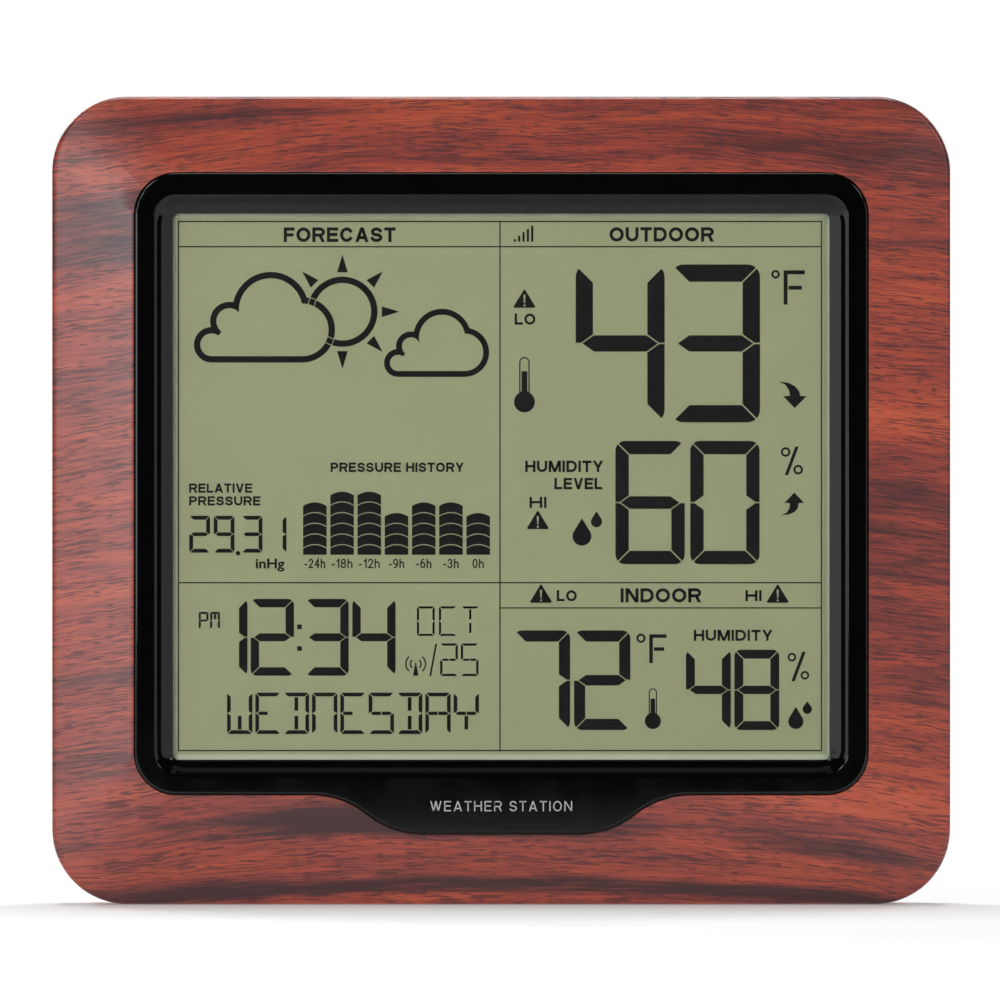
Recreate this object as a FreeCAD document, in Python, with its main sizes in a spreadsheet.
import FreeCAD, Part

import math
import os

import Sketcher

# Home weather station: a table-top display with a wood-look frame.
# Row frame: X to the viewer's right, the front faces -Y, Z up, millimetres.
# The origin is the middle of the bottom of the object's box.

doc = FreeCAD.newDocument("WeatherStation")
sheet = doc.addObject("Spreadsheet::Sheet", "Sizes")
V = FreeCAD.Vector


class Size:
    """A number together with the spreadsheet expression that gives it."""

    def __init__(self, value, text):
        self.value = value
        self.text = text

    def __add__(self, other):
        other = as_size(other)
        return Size(self.value + other.value, f"({self.text} + {other.text})")

    def __radd__(self, other):
        return as_size(other) + self

    def __sub__(self, other):
        other = as_size(other)
        return Size(self.value - other.value, f"({self.text} - {other.text})")

    def __rsub__(self, other):
        return as_size(other) - self

    def __mul__(self, factor):
        return Size(self.value * factor, f"({self.text} * {factor})")

    def __rmul__(self, factor):
        return self * factor

    def __truediv__(self, factor):
        return Size(self.value / factor, f"({self.text} / {factor})")

    def __neg__(self):
        return Size(-self.value, f"(-({self.text}))")


def as_size(number):
    """A plain number as a Size, so that the two can be mixed."""
    return number if isinstance(number, Size) else Size(float(number), repr(float(number)))


rows = []


def size(name, value):
    """Writes one driving dimension into the sheet and gives it as a Size."""
    rows.append(name)
    row = len(rows)
    sheet.set(f"A{row}", name)
    sheet.set(f"B{row}", str(value))
    sheet.setAlias(f"B{row}", name)
    return Size(float(value), f"Sizes.{name}")


# ---------------------------------------------------------------- sizes
# Whole object
frame_width = size("frame_width", 228.0)
frame_height = size("frame_height", 205.0)
frame_depth = size("frame_depth", 27.0)
# Wood-look frame
frame_corner = size("frame_corner", 19.0)
side_band = size("side_band", 20.8)
top_band = size("top_band", 19.3)
bottom_band = size("bottom_band", 27.7)
opening_corner = size("opening_corner", 10.8)
tab_top_half = size("tab_top_half", 48.2)
tab_flat_half = size("tab_flat_half", 19.8)
tab_drop = size("tab_drop", 10.0)
face_slope = size("face_slope", 3.5)
face_rim = size("face_rim", 0.7)
edge_round = size("edge_round", 1.5)
frame_wall = size("frame_wall", 2.5)
frame_skin = size("frame_skin", 2.3)
frame_back_step = size("frame_back_step", 5.5)
# Bezel, standing proud of the frame
bezel_proud = size("bezel_proud", 0.5)
bezel_gap = size("bezel_gap", 0.15)
bezel_edge_round = size("bezel_edge_round", 0.8)
ridge_side = size("ridge_side", 5.1)
ridge_top = size("ridge_top", 5.5)
ridge_bottom = size("ridge_bottom", 5.3)
ridge_corner = size("ridge_corner", 5.5)
ridge_round = size("ridge_round", 0.5)
bezel_recess = size("bezel_recess", 2.9)
bezel_lip = size("bezel_lip", 0.5)
bezel_lip_reach = size("bezel_lip_reach", 2.9)
bezel_flange = size("bezel_flange", 3.0)
bezel_flange_wall = size("bezel_flange_wall", 1.2)
# Window and liquid crystal cell
slope_side = size("slope_side", 4.65)
slope_top = size("slope_top", 4.75)
slope_bottom = size("slope_bottom", 3.55)
view_corner = size("view_corner", 1.4)
tape_thick = size("tape_thick", 0.1)
window_thick = size("window_thick", 1.4)
layer_gap = size("layer_gap", 0.1)
polariser_thick = size("polariser_thick", 0.2)
glass_thick = size("glass_thick", 2.2)
glass_reach = size("glass_reach", 1.7)
contact_ledge = size("contact_ledge", 2.3)
fit_gap = size("fit_gap", 0.4)
# Holder plate and board
holder_thick = size("holder_thick", 1.5)
standoff = size("standoff", 5.3)
standoff_radius = size("standoff_radius", 2.6)
board_overhang = size("board_overhang", 3.0)
board_height = size("board_height", 50.0)
board_thick = size("board_thick", 1.6)
board_screw_inset = size("board_screw_inset", 3.0)
zebra_inset = size("zebra_inset", 15.0)
zebra_thick = size("zebra_thick", 1.8)
# Rear case
case_wall = size("case_wall", 2.2)
case_rib = size("case_rib", 1.6)
case_gap = size("case_gap", 0.2)
rear_round = size("rear_round", 1.2)
case_inset = size("case_inset", 7.0)
case_flange = size("case_flange", 2.0)
post_radius = size("post_radius", 3.4)
post_inset = size("post_inset", 13.4)
post_row_inset = size("post_row_inset", 24.0)
pad_height = size("pad_height", 2.3)
# Screws: case, holder and board
case_screw_radius = size("case_screw_radius", 1.4)
case_screw_head = size("case_screw_head", 2.5)
case_screw_length = size("case_screw_length", 12.0)
small_screw_radius = size("small_screw_radius", 1.0)
small_screw_head = size("small_screw_head", 2.0)
small_screw_length = size("small_screw_length", 5.0)
head_thick = size("head_thick", 1.3)
pilot_gap = size("pilot_gap", 0.03)
holder_screw_reach = size("holder_screw_reach", 60.0)
# Fold-out stand
stand_width = size("stand_width", 60.0)
stand_gap = size("stand_gap", 0.5)
stand_thick = size("stand_thick", 3.2)
stand_foot = size("stand_foot", 9.0)
stand_axis_height = size("stand_axis_height", 110.0)
stand_sink = size("stand_sink", 0.1)
barrel_radius = size("barrel_radius", 2.0)
stand_pin_radius = size("stand_pin_radius", 1.5)
stand_pin_length = size("stand_pin_length", 2.6)
pin_gap = size("pin_gap", 0.06)
stand_rim = size("stand_rim", 3.5)
stand_hollow = size("stand_hollow", 1.6)
recess_depth = size("recess_depth", 4.3)
# Battery bay
cell_radius = size("cell_radius", 7.25)
cell_body = size("cell_body", 49.2)
cell_nub = size("cell_nub", 1.3)
cell_nub_radius = size("cell_nub_radius", 2.75)
cell_pitch = size("cell_pitch", 15.3)
cell_gap = size("cell_gap", 0.1)
spring_room = size("spring_room", 5.2)
plate_thick = size("plate_thick", 0.4)
bay_height = size("bay_height", 48.8)
bay_bottom = size("bay_bottom", 38.6)
door_thick = size("door_thick", 1.2)
door_ledge = size("door_ledge", 1.4)
door_gap = size("door_gap", 0.2)
hook_width = size("hook_width", 8.0)
hook_reach = size("hook_reach", 2.0)
hook_thick = size("hook_thick", 1.2)
notch_width = size("notch_width", 14.0)
notch_height = size("notch_height", 6.0)
notch_depth = size("notch_depth", 4.6)
door_corner = size("door_corner", 1.0)
hook_inset = size("hook_inset", 14.0)
# Buttons on the back
button_inset = size("button_inset", 9.0)
button_rise = size("button_rise", 8.0)
button_pitch = size("button_pitch", 15.0)
button_width = size("button_width", 11.0)
button_tall = size("button_tall", 6.0)
button_corner = size("button_corner", 2.9)
button_gap = size("button_gap", 0.25)
button_sink = size("button_sink", 0.2)
button_cap_round = size("button_cap_round", 0.5)
button_flange = size("button_flange", 1.5)
button_flange_thick = size("button_flange_thick", 1.0)
button_stem = size("button_stem", 1.8)
button_travel = size("button_travel", 0.6)
switch_side = size("switch_side", 6.0)
switch_height = size("switch_height", 3.5)
plunger_radius = size("plunger_radius", 1.75)
plunger_height = size("plunger_height", 1.5)
# Keyhole for a wall screw, and vents
keyhole_drop = size("keyhole_drop", 26.0)
keyhole_rise = size("keyhole_rise", 8.0)
keyhole_entry = size("keyhole_entry", 4.5)
keyhole_slot = size("keyhole_slot", 2.2)
vent_inset = size("vent_inset", 19.0)
vent_low = size("vent_low", 46.0)
vent_width = size("vent_width", 2.2)
vent_tall = size("vent_tall", 24.0)
vent_pitch = size("vent_pitch", 6.0)
vent_count = size("vent_count", 6)

doc.recompute()

# ------------------------------------------------- places worked out from the sizes
# Depths run from the front (-Y) to the rear (+Y).
front = -frame_depth / 2
rear = frame_depth / 2
half_width = frame_width / 2
frame_face = front + bezel_proud
frame_edge = frame_face + face_slope
frame_inside = frame_edge + frame_skin
frame_back = rear - frame_back_step

opening_half = half_width - side_band
opening_top = frame_height - top_band
opening_bottom = bottom_band
tab_bottom = opening_bottom - tab_drop

bezel_half = opening_half - bezel_gap
bezel_top = opening_top - bezel_gap
bezel_bottom = opening_bottom + bezel_gap
view_half = bezel_half - ridge_side - slope_side
view_top = bezel_top - ridge_top - slope_top
view_bottom = bezel_bottom + ridge_bottom + slope_bottom
view_middle = (view_top + view_bottom) / 2
lip_front = front + bezel_recess
lip_back = lip_front + bezel_lip
cavity_half = view_half + bezel_lip_reach
cavity_top = view_top + bezel_lip_reach + fit_gap / 2
cavity_bottom = view_bottom - bezel_lip_reach
window_front = lip_back + tape_thick
window_back = window_front + window_thick
polariser_front = window_back + layer_gap
glass_front = polariser_front + polariser_thick
glass_back = glass_front + glass_thick
reflector_back = glass_back + polariser_thick
bezel_back = frame_inside + layer_gap + bezel_flange_wall
holder_front = bezel_back + layer_gap
holder_back = holder_front + holder_thick
board_front = holder_back + standoff
board_back = board_front + board_thick

glass_half = view_half + glass_reach
glass_bottom = view_bottom - glass_reach
layer_top = view_top + fit_gap
glass_top = layer_top + contact_ledge
zebra_half = glass_half - zebra_inset
board_half = glass_half + board_overhang
board_top = glass_top + 1.0
board_bottom = board_top - board_height

case_half = half_width - case_inset
case_top = frame_height - case_inset
case_bottom = case_inset
case_corner = frame_corner - case_inset
case_inside = rear - case_wall
flange_front = frame_back - case_flange
post_x = half_width - post_inset
post_row_low = post_row_inset
post_row_high = frame_height - post_row_inset
post_middle = (post_row_low + post_row_high) / 2
pad_front = case_inside - pad_height
screw_seat = rear - head_thick - 0.7

recess_half = stand_width / 2 + stand_gap
recess_floor = rear - recess_depth
recess_top = stand_axis_height + barrel_radius + 0.4
stand_back = rear - stand_sink
stand_front = stand_back - stand_thick
stand_axis_y = stand_back - barrel_radius

bay_left = recess_half + case_rib
bay_right = bay_left + cell_body + cell_nub + spring_room + 2 * plate_thick
bay_top = bay_bottom + bay_height
door_inside = rear - door_thick
door_seat = door_inside - layer_gap
cell_y = door_seat - cell_gap - cell_radius
bay_floor = cell_y - cell_radius - cell_gap
bay_middle = bay_bottom + bay_height / 2
door_left = bay_left - door_ledge + door_gap + 0.5
door_right = bay_right + door_ledge - door_gap
door_top = bay_top + door_ledge - door_gap
door_bottom = bay_bottom - door_ledge + door_gap
door_middle = (door_left + door_right) / 2
hook_offset = (door_right - door_left) / 2 - hook_inset
hook_front = case_inside - layer_gap - hook_thick

button_column = board_half - button_inset
button_low = board_bottom + button_rise
button_rows = [button_low + button_pitch * step for step in range(3)]
switch_top = board_back + switch_height
plunger_top = switch_top + plunger_height
button_back = rear - button_sink
keyhole_height = case_top - keyhole_drop
vent_left = vent_inset - case_half
button_flange_back = case_inside - layer_gap
button_flange_front = button_flange_back - button_flange_thick

post_places = [(side * post_x, z) for side in (-1, 1) for z in (post_row_low, post_middle, post_row_high)]
holder_low = (cavity_bottom + bezel_bottom) / 2
holder_high = (cavity_top + bezel_top) / 2
holder_side = (cavity_half + bezel_half) / 2
holder_places = [(side * holder_screw_reach, z) for side in (-1, 1) for z in (holder_low, holder_high)]
holder_places += [(side * holder_side, view_middle) for side in (-1, 1)]
board_screw_x = board_half - board_screw_inset
board_screw_low = board_bottom + board_screw_inset
board_screw_high = board_top - board_screw_inset
board_places = [(side * board_screw_x, z) for side in (-1, 1) for z in (board_screw_low, board_screw_high)]
button_places = [(side * button_column, z) for side in (-1, 1) for z in button_rows]

# ---------------------------------------------------------------- helpers
nodes = []


def keep(thing, label):
    """Labels an object as a sub-part that is written to its own file."""
    thing.Label = label
    nodes.append(thing)
    return thing


def bind(thing, prop, amount):
    """Sets a property to a Size, by number and by expression."""
    thing.setExpression(prop, as_size(amount).text)


def place(thing, x, y, z):
    """Binds an object's position to three sizes."""
    for axis, amount in zip("xyz", (x, y, z)):
        bind(thing, f"Placement.Base.{axis}", amount)


def box(name, x, y, z):
    """A Part::Box between two depths, given a pair of limits on each axis."""
    thing = doc.addObject("Part::Box", name)
    for prop, (low, high) in zip(("Length", "Width", "Height"), (x, y, z)):
        bind(thing, prop, as_size(high) - low)
    place(thing, x[0], y[0], z[0])
    return thing


TURNS = {
    "x": FreeCAD.Rotation(V(0, 1, 0), 90),
    "y": FreeCAD.Rotation(V(1, 0, 0), -90),
    "z": FreeCAD.Rotation(),
}


def rod(name, axis, start, radius, length):
    """A Part::Cylinder that runs from its start along one axis."""
    thing = doc.addObject("Part::Cylinder", name)
    thing.Placement.Rotation = TURNS[axis]
    bind(thing, "Radius", radius)
    bind(thing, "Height", length)
    place(thing, *start)
    return thing


def joined(name, shapes, kind="Part::MultiFuse"):
    """Several shapes as one."""
    thing = doc.addObject(kind, name)
    if kind == "Part::Compound":
        thing.Links = shapes
    else:
        thing.Shapes = shapes
    return thing


def cut(name, base, tool):
    """The base with the tool taken away."""
    thing = doc.addObject("Part::Cut", name)
    thing.Base = base
    thing.Tool = tool
    return thing


class Outline:
    """A constrained sketch that faces the front, at one depth of a body."""

    def __init__(self, body, name, depth):
        self.sketch = body.newObject("Sketcher::SketchObject", name)
        plane = next(item for item in body.Origin.OriginFeatures if item.Role == "XZ_Plane")
        self.sketch.AttachmentSupport = [(plane, "")]
        self.sketch.MapMode = "FlatFace"
        bind(self.sketch, "AttachmentOffset.Base.z", -as_size(depth))

    def dimension(self, kind, places, amount):
        """Adds one driving dimension and binds it to the sheet."""
        number = self.sketch.addConstraint(Sketcher.Constraint(kind, *places, amount.value))
        self.sketch.setExpression(f"Constraints[{number}]", amount.text)

    def fix(self, edge, end, across=None, up=None):
        """Fixes a point's distance from the sketch's own axes."""
        for kind, amount, axis in (("DistanceX", across, -2), ("DistanceY", up, -1)):
            if amount is None:
                continue
            amount = as_size(amount)
            if amount.value > 0:
                self.dimension(kind, (-1, 1, edge, end), amount)
            elif amount.value < 0:
                self.dimension(kind, (edge, end, -1, 1), -amount)
            else:
                self.sketch.addConstraint(Sketcher.Constraint("PointOnObject", edge, end, axis))

    def line(self, start, end):
        return self.sketch.addGeometry(Part.LineSegment(V(*start), V(*end)), False)

    def arc(self, middle, radius, first, last):
        """An arc that runs anticlockwise between two angles in degrees."""
        circle = Part.Circle(V(*middle), V(0, 0, 1), radius)
        ends = (math.radians(first), math.radians(last))
        return self.sketch.addGeometry(Part.ArcOfCircle(circle, *ends), False)

    def meet(self, first, first_end, second, second_end):
        """Two edges join at their ends without a corner."""
        self.sketch.addConstraint(Sketcher.Constraint("Tangent", first, first_end, second, second_end))

    def circle(self, x, z, radius):
        x, z, radius = as_size(x), as_size(z), as_size(radius)
        shape = Part.Circle(V(x.value, z.value, 0), V(0, 0, 1), radius.value)
        edge = self.sketch.addGeometry(shape, False)
        self.dimension("Radius", (edge,), radius)
        self.fix(edge, 3, x, z)

    def rounded(self, left, right, bottom, top, corner, tab=None):
        """A rectangle with round corners; its lower side may carry a tab."""
        left, right, bottom, top, corner = (as_size(item) for item in (left, right, bottom, top, corner))
        x0, x1, z0, z1, r = (item.value for item in (left, right, bottom, top, corner))
        if tab is None:
            lower_left = lower_right = self.line((x0 + r, z0, 0), (x1 - r, z0, 0))
        else:
            lower_left, lower_right = self.tabbed_side(left, right, bottom, corner, tab)
        right_low = self.arc((x1 - r, z0 + r, 0), r, -90, 0)
        side = self.line((x1, z0 + r, 0), (x1, z1 - r, 0))
        right_high = self.arc((x1 - r, z1 - r, 0), r, 0, 90)
        upper = self.line((x1 - r, z1, 0), (x0 + r, z1, 0))
        left_high = self.arc((x0 + r, z1 - r, 0), r, 90, 180)
        other = self.line((x0, z1 - r, 0), (x0, z0 + r, 0))
        left_low = self.arc((x0 + r, z0 + r, 0), r, 180, 270)
        loop = [lower_right, right_low, side, right_high, upper, left_high, other, left_low]
        for first, second in zip(loop, loop[1:] + [lower_left]):
            self.meet(first, 2, second, 1)
        for edge in {lower_left, lower_right, upper}:
            self.sketch.addConstraint(Sketcher.Constraint("Horizontal", edge))
        for edge in (side, other):
            self.sketch.addConstraint(Sketcher.Constraint("Vertical", edge))
        for arc in (right_high, left_high, left_low):
            self.sketch.addConstraint(Sketcher.Constraint("Equal", right_low, arc))
        self.dimension("Radius", (right_low,), corner)
        self.fix(side, 1, across=right)
        self.fix(other, 1, across=left)
        self.fix(upper, 1, up=top)
        self.fix(lower_right, 2, up=bottom)
        if tab is not None:
            self.sketch.addConstraint(Sketcher.Constraint("Horizontal", lower_left, 1, lower_right, 2))

    def tabbed_side(self, left, right, bottom, corner, tab):
        """The lower side with an S-curve down to a flat tab and up again."""
        top_half, flat_half, drop = tab
        reach = top_half.value - flat_half.value
        radius = (reach ** 2 + drop.value ** 2) / (4 * drop.value)
        turn = math.degrees(math.asin(reach / 2 / radius))
        a, b, z, d = top_half.value, flat_half.value, bottom.value, drop.value
        lower_left = self.line((left.value + corner.value, z, 0), (-a, z, 0))
        out_left = self.arc((-a, z - radius, 0), radius, 90 - turn, 90)
        in_left = self.arc((-b, z - d + radius, 0), radius, 270 - turn, 270)
        flat = self.line((-b, z - d, 0), (b, z - d, 0))
        in_right = self.arc((b, z - d + radius, 0), radius, 270, 270 + turn)
        out_right = self.arc((a, z - radius, 0), radius, 90, 90 + turn)
        lower_right = self.line((a, z, 0), (right.value - corner.value, z, 0))
        self.meet(lower_left, 2, out_left, 2)
        self.meet(out_left, 1, in_left, 1)
        self.meet(in_left, 2, flat, 1)
        self.meet(flat, 2, in_right, 1)
        self.meet(in_right, 2, out_right, 2)
        self.meet(out_right, 1, lower_right, 1)
        self.sketch.addConstraint(Sketcher.Constraint("Equal", out_left, in_left))
        self.sketch.addConstraint(Sketcher.Constraint("Equal", out_right, in_right))
        self.sketch.addConstraint(Sketcher.Constraint("Horizontal", flat))
        self.fix(lower_left, 2, across=-top_half)
        self.fix(lower_right, 1, across=top_half)
        self.fix(flat, 1, across=-flat_half, up=bottom - drop)
        self.fix(flat, 2, across=flat_half)
        return lower_left, lower_right


class Moulding:
    """A PartDesign body built from front-facing sketches, pads and pockets."""

    def __init__(self, label):
        self.body = doc.addObject("PartDesign::Body", label)
        self.count = 0
        keep(self.body, label)

    def outline(self, depth):
        self.count += 1
        return Outline(self.body, f"{self.body.Name}_outline_{self.count}", depth)

    def feature(self, kind, profile):
        self.count += 1
        made = self.body.newObject(f"PartDesign::{kind}", f"{self.body.Name}_{kind}_{self.count}")
        made.Profile = profile.sketch
        return made

    def pad(self, profile, depths):
        """Adds material from the sketch at the rear depth to the front one."""
        made = self.feature("Pad", profile)
        bind(made, "Length", as_size(depths[1]) - depths[0])
        return made

    def slab(self, depths, *sides, tab=None):
        """Pads one rounded rectangle between two depths."""
        profile = self.outline(depths[1])
        profile.rounded(*sides, tab=tab)
        return self.pad(profile, depths)

    def pocket(self, profile, depths):
        """Cuts from the sketch at the front depth to the rear one."""
        doc.recompute()
        before = self.body.Shape.Volume
        made = self.feature("Pocket", profile)
        bind(made, "Length", as_size(depths[1]) - depths[0])
        doc.recompute()
        if made.Shape.Volume > before - 1e-3:
            raise RuntimeError(f"{made.Name} cuts nothing")
        return made

    def hollow(self, depths, *sides, tab=None):
        """Pockets one rounded rectangle between two depths."""
        profile = self.outline(depths[0])
        profile.rounded(*sides, tab=tab)
        return self.pocket(profile, depths)

    def drill(self, depths, places, radius):
        """Pockets round holes between two depths."""
        profile = self.outline(depths[0])
        for x, z in places:
            profile.circle(x, z, radius)
        return self.pocket(profile, depths)

    def posts(self, depths, places, radius):
        """Pads round posts between two depths."""
        profile = self.outline(depths[1])
        for x, z in places:
            profile.circle(x, z, radius)
        return self.pad(profile, depths)

    def loft(self, kind, near, far):
        made = self.feature(kind, near)
        made.Sections = [far.sketch]
        made.Ruled = True
        return made

    def round_edges(self, depth, radius, chosen=lambda edge: True):
        """Rounds the edges that lie flat at one depth."""
        doc.recompute()
        base = self.body.Tip
        flat = []
        for number, edge in enumerate(base.Shape.Edges, 1):
            limits = edge.BoundBox
            level = max(abs(limits.YMin - depth.value), abs(limits.YMax - depth.value)) < 1e-4
            if level and chosen(limits):
                flat.append(f"Edge{number}")
        self.count += 1
        made = self.body.newObject("PartDesign::Fillet", f"{self.body.Name}_Fillet_{self.count}")
        made.Base = (base, flat)
        bind(made, "Radius", radius)
        return made


# ---------------------------------------------------------------- wood-look frame
tab = (tab_top_half, tab_flat_half, tab_drop)
bezel_tab = (tab_top_half - bezel_gap, tab_flat_half - bezel_gap, tab_drop)


def make_wood_frame():
    """Four flat bands that fall away towards a rounded outer edge."""
    piece = Moulding("wood_frame")
    outer = (-half_width, half_width, 0, frame_height)
    piece.slab((frame_edge, frame_back), *outer, frame_corner)
    low = piece.outline(frame_edge)
    low.rounded(*outer, frame_corner)
    high = piece.outline(frame_face)
    high_half = opening_half + face_rim
    high_sides = (-high_half, high_half, opening_bottom - face_rim, opening_top + face_rim)
    high.rounded(*high_sides, opening_corner + face_rim)
    piece.loft("AdditiveLoft", low, high)
    piece.round_edges(frame_edge, edge_round)
    inner_half = half_width - frame_wall
    inner = (-inner_half, inner_half, frame_wall, frame_height - frame_wall)
    piece.hollow((frame_inside, frame_back + 1), *inner, frame_corner - frame_wall)
    opening = (-opening_half, opening_half, opening_bottom, opening_top, opening_corner)
    piece.hollow((frame_face - 1, frame_back), *opening, tab=tab)
    piece.posts((frame_inside - 0.5, pad_front - layer_gap), post_places, post_radius)
    hole_bottom = pad_front - layer_gap - case_screw_length
    piece.drill((hole_bottom, rear), post_places, case_screw_radius + pilot_gap)


def make_bezel():
    """Gloss surround with a rounded ridge and faces that slope to the window."""
    piece = Moulding("bezel")
    sides = (-bezel_half, bezel_half, bezel_bottom, bezel_top, opening_corner - bezel_gap)
    piece.slab((front, bezel_back), *sides, tab=bezel_tab)
    flange_half = bezel_half + bezel_flange
    flange_low = bezel_bottom - tab_drop - bezel_flange
    flange_sides = (-flange_half, flange_half, flange_low, bezel_top + bezel_flange, opening_corner)
    piece.slab((frame_inside + layer_gap, bezel_back), *flange_sides)
    ridge_half = bezel_half - ridge_side
    near = piece.outline(front)
    near.rounded(-ridge_half, ridge_half, bezel_bottom + ridge_bottom, bezel_top - ridge_top, ridge_corner)
    far = piece.outline(lip_front)
    far.rounded(-view_half, view_half, view_bottom, view_top, view_corner)
    piece.loft("SubtractiveLoft", near, far)
    piece.hollow((lip_front - 0.5, bezel_back + 1), -view_half, view_half, view_bottom, view_top, view_corner)
    piece.hollow((lip_back, bezel_back + 1), -cavity_half, cavity_half, cavity_bottom, cavity_top, 0.6)

    def on_ridge(limits):
        across = max(abs(limits.XMin), abs(limits.XMax)) < ridge_half.value + 0.5
        low, high = bezel_bottom.value + 2, bezel_top.value - 2
        return across and limits.ZMin > low and limits.ZMax < high

    piece.round_edges(front, ridge_round, on_ridge)
    piece.round_edges(front, bezel_edge_round, lambda limits: not on_ridge(limits))
    pilot_depth = bezel_back - small_screw_length + 0.5
    piece.drill((pilot_depth, bezel_back + 1), holder_places, small_screw_radius + pilot_gap)


def make_window_tape():
    """Thin double-sided tape ring that holds the window to the bezel's lip."""
    piece = Moulding("window_tape")
    half = cavity_half - fit_gap
    depths = (lip_back, window_front)
    piece.slab(depths, -half, half, cavity_bottom + fit_gap, cavity_top - fit_gap, 0.6)
    inner = view_half + 0.5
    piece.hollow((lip_back - 1, window_front), -inner, inner, view_bottom - 0.5, view_top + 0.5, 1.4)


def make_layers():
    """Window, polarisers, and the cell whose glass runs on to a contact ledge."""
    window_half = cavity_half - fit_gap
    window = Moulding("display_window")
    window_sides = (-window_half, window_half, cavity_bottom + fit_gap, cavity_top - fit_gap)
    window.slab((window_front, window_back), *window_sides, 0.6)
    for label, depths, top in (
        ("lcd_front_polariser", (polariser_front, glass_front), layer_top),
        ("lcd_glass", (glass_front, glass_back), glass_top),
        ("lcd_reflector", (glass_back, reflector_back), layer_top),
    ):
        layer = box(label, (-glass_half, glass_half), depths, (glass_bottom, top))
        keep(layer, label)


def make_holder():
    """Plate that presses the cell into the bezel and carries the main board."""
    piece = Moulding("lcd_holder")
    half = bezel_half - 1
    piece.slab((holder_front, holder_back), -half, half, bezel_bottom + 0.8, bezel_top - 0.8, 8)
    profile = piece.outline(board_front)
    for x, z in board_places:
        profile.circle(x, z, standoff_radius)
    piece.pad(profile, (holder_front, board_front))
    slot_half = zebra_half + fit_gap
    slot_low = layer_top + fit_gap / 4
    slot_sides = (-slot_half, slot_half, slot_low, glass_top + fit_gap / 4, 0.4)
    piece.hollow((holder_front - 1, holder_back + 1), *slot_sides)
    piece.drill((holder_front - 1, holder_back + 1), holder_places, small_screw_radius + 0.2)
    pilot_depth = board_front - small_screw_length + 1.2
    piece.drill((pilot_depth, board_front + 1), board_places, small_screw_radius + pilot_gap)
    middle = (layer_top + glass_top) / 2
    strip = box("zebra_strip", (-zebra_half, zebra_half), (glass_back, board_front),
                (middle - zebra_thick / 2, middle + zebra_thick / 2))
    keep(strip, "zebra_strip")


# ---------------------------------------------------------------- board and what it carries
def on_board(name, x, z, width, tall, height):
    """A box that stands on the board's rear face."""
    x, z = as_size(x), as_size(z)
    return box(name, (x, x + width), (board_back, board_back + height), (z, z + tall))


def make_board():
    """Printed board with screw holes, and the parts soldered to its rear face."""
    piece = Moulding("main_board")
    piece.slab((board_front, board_back), -board_half, board_half, board_bottom, board_top, 1)
    piece.drill((board_front - 1, board_back + 1), board_places, small_screw_radius + 0.25)
    chip = doc.addObject("Part::Cone", "controller_chip")
    chip.Placement.Rotation = TURNS["y"]
    bind(chip, "Radius1", 7)
    bind(chip, "Radius2", 5.4)
    bind(chip, "Height", 1.4)
    place(chip, 0, board_back, board_bottom + 24)
    keep(chip, "controller_chip")
    keep(on_board("pressure_sensor", -22, board_bottom + 10, 5, 3.2, 1.2), "pressure_sensor")
    keep(rod("clock_crystal", "z", (18, board_back + 1.5, board_bottom + 8), 1.5, 8), "clock_crystal")
    cans = [rod(f"capacitor_{step}", "y", (26 + 7 * step, board_back, board_bottom + 34), 2.5, 5.5)
            for step in range(3)]
    keep(joined("capacitors", cans, "Part::Compound"), "capacitors")
    keep(rod("buzzer", "y", (52, board_back, board_bottom + 14), 6, 5), "buzzer")
    module = on_board("radio_base", -56, board_bottom + 28, 22, 14, 1)
    shield = on_board("radio_shield", -52, board_bottom + 31, 12, 8, 2.6)
    keep(joined("radio_module", [module, shield]), "radio_module")


def make_aerials():
    """Ferrite rod, its coil and the clips that hold them under the board."""
    level = board_bottom - 9
    depth = holder_back + 6.6
    clips = []
    for side in (-1, 1):
        start = side * 26 - 2
        block = box("clip_block", (start, start + 4), (holder_back, depth), (level - 5, level + 5))
        seat = rod("clip_seat", "x", (start - 1, depth, level), 4.1, 6)
        clips.append(cut("clip", block, seat))
    keep(joined("aerial_clips", clips, "Part::Compound"), "aerial_clips")
    keep(rod("ferrite_rod", "x", (-34, depth, level), 4, 68), "ferrite_rod")
    around = rod("coil_outside", "x", (-14, depth, level), 5.4, 28)
    bore = rod("coil_bore", "x", (-15, depth, level), 4.03, 30)
    keep(cut("ferrite_coil", around, bore), "ferrite_coil")


def make_climate_board():
    """Small board behind the vents with the temperature and humidity sensor."""
    board_rear = case_inside - 1.8
    left = vent_left + 2
    low = vent_low + 4
    base = box("climate_board", (left, left + 26), (board_rear - 1, board_rear), (low, low + 16))
    keep(base, "climate_board")
    sensor = box("climate_sensor", (left + 12, left + 15), (board_rear, board_rear + 1), (low + 6, low + 9))
    keep(sensor, "climate_sensor")


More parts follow.
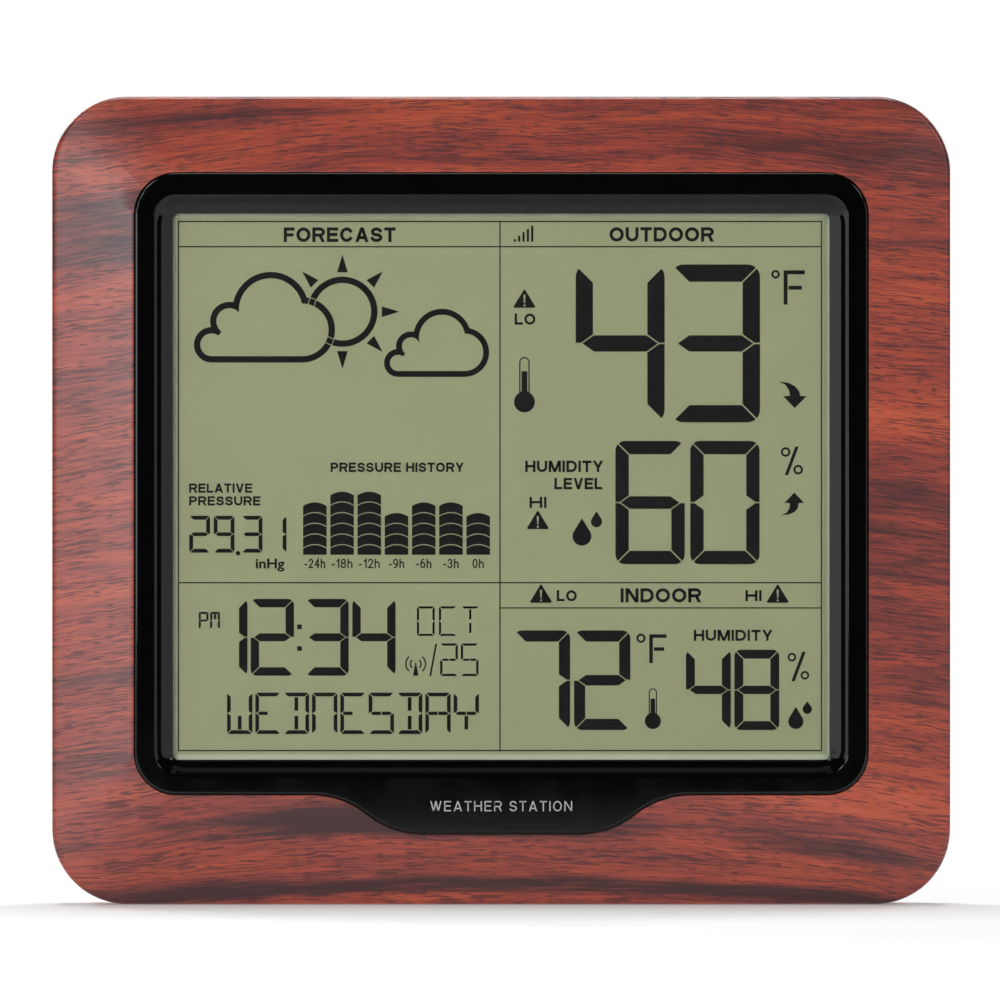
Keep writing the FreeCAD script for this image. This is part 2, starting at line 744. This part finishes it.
# ---------------------------------------------------------------- rear case
def make_rear_case():
    """Shallow tray with the stand's recess, the battery bay and the key holes."""
    piece = Moulding("rear_case")
    flange = frame_wall + case_gap
    flange_half = half_width - flange
    piece.slab((flange_front, frame_back), -flange_half, flange_half, flange, frame_height - flange,
               frame_corner - flange)
    piece.slab((flange_front, rear), -case_half, case_half, case_bottom, case_top, case_corner)
    piece.round_edges(rear, rear_round)
    inner_half = case_half - case_wall
    inner = (-inner_half, inner_half, case_bottom + case_wall, case_top - case_wall)
    piece.hollow((flange_front - 1, case_inside), *inner, case_corner - case_wall)
    # Pads for the case screws
    piece.posts((pad_front, case_inside + 0.5), post_places, post_radius + 0.6)
    # Walls round the stand's recess, and the lugs for its pins
    block_half = recess_half + case_rib
    block_front = recess_floor - case_rib
    piece.slab((block_front, case_inside + 0.5), -block_half, block_half, case_bottom + case_wall / 2,
               recess_top + case_rib, 1)
    lug = stand_pin_length + 1.4
    for side in (-1, 1):
        ends = (recess_half - 1, recess_half + lug)
        low, high = ends if side > 0 else (-ends[1], -ends[0])
        piece.slab((block_front, case_inside + 0.5), low, high, stand_axis_height - 4.5,
                   recess_top + case_rib, 0.8)
    # Walls and floor of the battery bay
    piece.slab((bay_floor - case_rib, case_inside + 0.5), bay_left - case_rib, bay_right + case_rib,
               bay_bottom - case_rib, bay_top + case_rib, 1.2)
    notch_low = bay_bottom - door_ledge - notch_height
    notch_sides = (door_middle - notch_width / 2, door_middle + notch_width / 2)
    piece.slab((rear - notch_depth - case_rib, case_inside + 0.5), notch_sides[0] - case_rib,
               notch_sides[1] + case_rib, notch_low - case_rib, bay_bottom, 1.8)
    piece.hollow((recess_floor, rear + 1), -recess_half, recess_half, case_bottom - 6, recess_top, 1.2)
    piece.hollow((bay_floor, rear + 1), bay_left, bay_right, bay_bottom, bay_top, 0.8)
    seat_left = bay_left - door_ledge + 0.5
    piece.hollow((door_seat, rear + 1), seat_left, bay_right + door_ledge, bay_bottom - door_ledge,
                 bay_top + door_ledge, door_corner + door_gap)
    # Finger notch under the door, and slots behind its upper edge for the hooks
    piece.hollow((rear - notch_depth, rear + 1), *notch_sides, notch_low, bay_bottom + 1, 1.8)
    for side in (-1, 1):
        middle = door_middle + side * hook_offset
        half = hook_width / 2 + 0.3
        piece.hollow((hook_front - 0.8, case_inside), middle - half, middle + half, bay_top - 1,
                     door_top + hook_reach + 0.4, 0.3)
        piece.hollow((hook_front, door_seat + 0.1), middle - half, middle + half, bay_top - 1,
                     door_top + door_gap, 0.3)
    # Button holes, screw holes, vents and the keyhole
    profile = piece.outline(case_inside - 1)
    for x, z in button_places:
        half_x = button_width / 2 + button_gap
        half_z = button_tall / 2 + button_gap
        profile.rounded(x - half_x, x + half_x, z - half_z, z + half_z, button_corner + button_gap)
    piece.pocket(profile, (case_inside - 1, rear + 1))
    piece.drill((pad_front - 1, rear + 1), post_places, case_screw_radius + 0.2)
    piece.drill((screw_seat, rear + 1), post_places, case_screw_head + 0.3)
    piece.drill((case_inside - 1, rear + 1), [(0, keyhole_height)], keyhole_entry)
    piece.hollow((case_inside - 1, rear + 1), -keyhole_slot, keyhole_slot, keyhole_height,
                 keyhole_height + keyhole_rise, keyhole_slot - 0.01)
    slots = piece.outline(case_inside - 1)
    for step in range(int(vent_count.value)):
        left = vent_left + step * vent_pitch
        slots.rounded(left, left + vent_width, vent_low, vent_low + vent_tall, vent_width / 2 - 0.01)
    piece.pocket(slots, (case_inside - 1, rear + 1))
    # Two short posts that carry the climate board
    spots = [(vent_left + 4.2, vent_low + 17), (vent_left + 26, vent_low + 7)]
    profile = piece.outline(case_inside + 0.5)
    for x, z in spots:
        profile.circle(x, z, 1.4)
    piece.pad(profile, (case_inside - 1.8, case_inside + 0.5))


def make_pin_holes():
    """Bores the lugs for the stand's pins, as a sketch on the side plane."""
    body = next(item for item in nodes if item.Label == "rear_case")
    sketch = body.newObject("Sketcher::SketchObject", "pin_hole")
    plane = next(item for item in body.Origin.OriginFeatures if item.Role == "YZ_Plane")
    sketch.AttachmentSupport = [(plane, "")]
    sketch.MapMode = "FlatFace"
    shape = Part.Circle(V(stand_axis_y.value, stand_axis_height.value, 0), V(0, 0, 1), 1.6)
    edge = sketch.addGeometry(shape, False)
    for kind, places, amount in (
        ("Radius", (edge,), stand_pin_radius + pin_gap),
        ("DistanceX", (-1, 1, edge, 3), stand_axis_y),
        ("DistanceY", (-1, 1, edge, 3), stand_axis_height),
    ):
        number = sketch.addConstraint(Sketcher.Constraint(kind, *places, amount.value))
        sketch.setExpression(f"Constraints[{number}]", amount.text)
    before = body.Shape.Volume
    made = body.newObject("PartDesign::Pocket", "pin_bore")
    made.Profile = sketch
    made.Midplane = True
    bind(made, "Length", 2 * (recess_half + stand_pin_length + pin_gap + 0.3))
    doc.recompute()
    if made.Shape.Volume > before - 1e-3:
        raise RuntimeError("the pin bore cuts nothing")


# ---------------------------------------------------------------- stand
def make_stand():
    """Leg with a barrel at its top, a pin at each end and a hollow inner side."""
    half = stand_width / 2
    plate = box("stand_plate", (-half, half), (stand_front, stand_back), (stand_foot, stand_axis_height))
    barrel = rod("stand_barrel", "x", (-half, stand_axis_y, stand_axis_height), barrel_radius, stand_width)
    reach = stand_pin_length + half
    pins = rod("stand_pins", "x", (-reach, stand_axis_y, stand_axis_height), stand_pin_radius, 2 * reach)
    whole = joined("stand_whole", [plate, barrel, pins])
    inner = half - stand_rim
    pan = box("stand_pan", (-inner, inner), (stand_front - 1, stand_front + stand_hollow),
              (stand_foot + stand_rim, stand_axis_height - 6))
    ribs = [box("stand_rib", (x - 0.8, x + 0.8), (stand_front - 2, stand_back - 1),
                (stand_foot, stand_axis_height)) for x in (-9.0, 9.0)]
    pan = cut("stand_pan_between_ribs", pan, joined("stand_ribs", ribs))
    grip = box("stand_grip", (-9, 9), (stand_front - 1, stand_front + 1.4),
               (stand_foot - 1, stand_foot + 1.6))
    hollow = joined("stand_hollows", [pan, grip])
    shaped = cut("stand_shaped", whole, hollow)
    doc.recompute()
    corners = []
    for number, edge in enumerate(shaped.Shape.Edges, 1):
        limits = edge.BoundBox
        across = limits.YLength > 2.5 and limits.XLength < 1e-4 and limits.ZLength < 1e-4
        low = abs(limits.ZMin - stand_foot.value) < 1e-4
        if across and low and abs(abs(limits.XMin) - half.value) < 1e-4:
            corners.append((number, 5.0, 5.0))
    rounded = doc.addObject("Part::Fillet", "stand")
    rounded.Base = shaped
    rounded.Edges = corners
    keep(rounded, "stand")


# ---------------------------------------------------------------- battery bay
def coil_spring(base, way, length, radius, wire_radius, turns):
    """A round wire lofted through circles that stand along a helix about X."""
    steps = 12 * turns
    sections = []
    for step in range(steps + 1):
        angle = 2 * math.pi * turns * step / steps
        middle = base + V(way * length * step / steps, radius * math.cos(angle), radius * math.sin(angle))
        along = V(way * length / (2 * math.pi * turns), -radius * math.sin(angle), radius * math.cos(angle))
        sections.append(Part.Wire(Part.makeCircle(wire_radius, middle, along)))
    return Part.makeLoft(sections, True, False)


def make_cells():
    """Three AA cells in series, so each is turned against the one above it."""
    left = bay_left + plate_thick
    right = bay_right - plate_thick
    plates, coils = [], []
    for step, label in enumerate(("top_cell", "middle_cell", "bottom_cell")):
        z = bay_middle + (1 - step) * cell_pitch
        nub_right = step != 1
        start = right - cell_nub - cell_body if nub_right else left + cell_nub
        nub_start = start + cell_body if nub_right else left
        can = rod(f"{label}_can", "x", (start, cell_y, z), cell_radius, cell_body)
        nub = rod(f"{label}_nub", "x", (nub_start, cell_y, z), cell_nub_radius, cell_nub)
        keep(joined(label, [can, nub]), label)
        for wall in (bay_left, bay_right - plate_thick):
            plates.append(box("contact", (wall, wall + plate_thick), (cell_y - 4.5, cell_y + 4.5),
                              (z - 4.5, z + 4.5)))
        spring_start = left.value if nub_right else right.value
        coils.append((spring_start, 1 if nub_right else -1, z.value))
    keep(joined("contact_plates", plates, "Part::Compound"), "contact_plates")
    springs = []
    reach = spring_room.value - 1.2
    for start, turn, z in coils:
        springs.append(coil_spring(V(start + turn * 0.4, cell_y.value, z), turn, reach, 4.2, 0.35, 4))
    coil = doc.addObject("Part::Feature", "contact_springs")
    coil.Shape = Part.makeCompound(springs)
    keep(coil, "contact_springs")


def make_door():
    """Flush door with two hooks on its upper edge and a pull at its lower one."""
    piece = Moulding("battery_door")
    piece.slab((door_inside, rear), door_left, door_right, door_bottom, door_top, door_corner)
    pull_sides = (door_middle - 6, door_middle + 6, door_bottom - 1.2, door_bottom + 2)
    piece.slab((door_inside, rear), *pull_sides, door_corner)
    for side in (-1, 1):
        middle = door_middle + side * hook_offset
        sides = (middle - hook_width / 2, middle + hook_width / 2)
        piece.slab((hook_front, door_inside + 0.4), *sides, door_top - 3, door_top - 1.6, 0.2)
        piece.slab((hook_front, hook_front + hook_thick), *sides, door_top - 3, door_top + hook_reach, 0.3)


# ---------------------------------------------------------------- buttons
BUTTON_NAMES = ("time", "alert", "search", "plus", "minus", "light")


def make_buttons():
    """Six keys on the back, each over its own switch on the board."""
    housings = []
    for name, (x, z) in zip(BUTTON_NAMES, button_places):
        piece = Moulding(f"{name}_button")
        half_x, half_z = button_width / 2, button_tall / 2
        piece.slab((button_flange_front, button_back), x - half_x, x + half_x, z - half_z, z + half_z,
                   button_corner)
        piece.round_edges(button_back, button_cap_round)
        wide_x, wide_z = half_x + button_flange, half_z + button_flange
        piece.slab((button_flange_front, button_flange_back), x - wide_x, x + wide_x, z - wide_z, z + wide_z,
                   button_corner + button_flange)
        piece.posts((plunger_top, button_flange_front + 0.5), [(x, z)], button_stem)
        plunger_foot = switch_top - 1.6
        plunger = rod(f"{name}_plunger", "y", (x, plunger_foot, z), plunger_radius,
                      plunger_top - plunger_foot)
        keep(plunger, f"{name}_plunger")
        half = switch_side / 2
        block = box("switch_block", (x - half, x + half), (board_back, switch_top), (z - half, z + half))
        well = rod("switch_well", "y", (x, plunger_foot - button_travel - 0.3, z), plunger_radius + 0.05, 5)
        housings.append(cut("switch", block, well))
    keep(joined("switch_housings", housings, "Part::Compound"), "switch_housings")


# ---------------------------------------------------------------- screws and wires
def screw(name, x, seat, z, radius, head, length):
    """A pan-head screw with a cross recess; it points to the front from its seat."""
    cap = rod(f"{name}_head", "y", (x, seat, z), head, head_thick)
    shank = rod(f"{name}_shank", "y", (x, as_size(seat) - length, z), radius, length + 0.2)
    blades = []
    for wide, tall in ((1.5, 0.3), (0.3, 1.5)):
        depths = (seat + head_thick - 0.8, seat + head_thick + 1)
        blades.append(box("screw_blade", (x - wide, x + wide), depths, (z - tall, z + tall)))
    return cut(name, joined(f"{name}_body", [cap, shank]), joined("screw_cross", blades))


def make_screws():
    """Screws of the case, of the holder plate and of the main board."""
    for label, places, seat, radius, head, length in (
        ("case_screws", post_places, screw_seat, case_screw_radius, case_screw_head, case_screw_length),
        ("holder_screws", holder_places, holder_back, small_screw_radius, small_screw_head, small_screw_length),
        ("board_screws", board_places, board_back, small_screw_radius, small_screw_head, small_screw_length),
    ):
        made = [screw(f"{label}_{number}", x, seat, z, radius, head, length)
                for number, (x, z) in enumerate(places)]
        keep(joined(label, made, "Part::Compound"), label)


def wire(label, points, radius, bend):
    """A round lead through the points, with an arc of one radius at each turn."""
    edges = []
    start = points[0]
    for before, corner, after in zip(points, points[1:], points[2:]):
        inward = (before - corner).normalize()
        outward = (after - corner).normalize()
        half_turn = (math.pi - inward.getAngle(outward)) / 2
        cut_back = bend * math.tan(half_turn)
        first = corner + inward * cut_back
        last = corner + outward * cut_back
        bisector = (inward + outward).normalize()
        middle = corner + bisector * (bend / math.cos(half_turn) - bend)
        edges.append(Part.LineSegment(start, first).toShape())
        edges.append(Part.Arc(first, middle, last).toShape())
        start = last
    edges.append(Part.LineSegment(start, points[-1]).toShape())
    path = Part.Wire(edges)
    profile = Part.Wire(Part.makeCircle(radius, points[0], (points[1] - points[0])))
    lead = doc.addObject("Part::Feature", label)
    lead.Shape = path.makePipeShell([profile], True, False)
    keep(lead, label)


def make_wires():
    """Battery leads, the climate board's lead and the radio's wire aerial."""
    lift = board_back.value + 0.65
    bottom = board_bottom.value
    outside = bay_right.value + case_rib.value
    low = bay_floor.value + 4
    top_row = (bay_middle + cell_pitch).value
    foot = bay_bottom.value - case_rib.value - 3
    wire("positive_lead", [V(outside, low, top_row), V(outside + 3, low, top_row),
                           V(outside + 3, low, bottom - 7), V(66, lift, bottom - 7),
                           V(66, lift, bottom + 4)], 0.6, 1.4)
    wire("negative_lead", [V(40, low, foot + 3), V(40, low, foot), V(outside + 5.5, low, foot),
                           V(outside + 5.5, low, bottom - 4), V(71, lift, bottom - 4),
                           V(71, lift, bottom + 4)], 0.6, 1.4)
    climate_rear = case_inside.value - 2.8 - 0.65
    x = vent_left.value + 20
    wire("climate_lead", [V(x, climate_rear, vent_low.value + 12), V(x, climate_rear, bottom - 12),
                          V(x, lift, bottom - 2), V(x, lift, bottom + 6)], 0.6, 1.4)
    wire("radio_aerial", [V(-45, lift + 1.5, bottom + 42.7), V(-45, lift + 1.5, bottom + 54),
                          V(34, lift + 1.5, bottom + 54)], 0.5, 1.4)


for make in (make_wood_frame, make_bezel, make_window_tape, make_layers, make_holder, make_board,
             make_aerials, make_climate_board, make_rear_case, make_pin_holes, make_stand, make_cells,
             make_door, make_buttons, make_screws, make_wires):
    make()
doc.recompute()

# ---------------------------------------------------------------- checks and files
for item in doc.Objects:
    if {"Invalid", "Error"} & set(item.State):
        raise RuntimeError(f"{item.Label} failed: {item.State}")
for item in nodes:
    if item.Shape.isNull() or not item.Shape.isValid() or not item.Shape.Solids:
        raise RuntimeError(f"{item.Label} has no valid solid")

os.makedirs("parts", exist_ok=True)
for item in nodes:
    item.Shape.exportStep(os.path.join("parts", f"{item.Label}.step"))
    print(item.Label, len(item.Shape.Solids), round(item.Shape.Volume, 1))
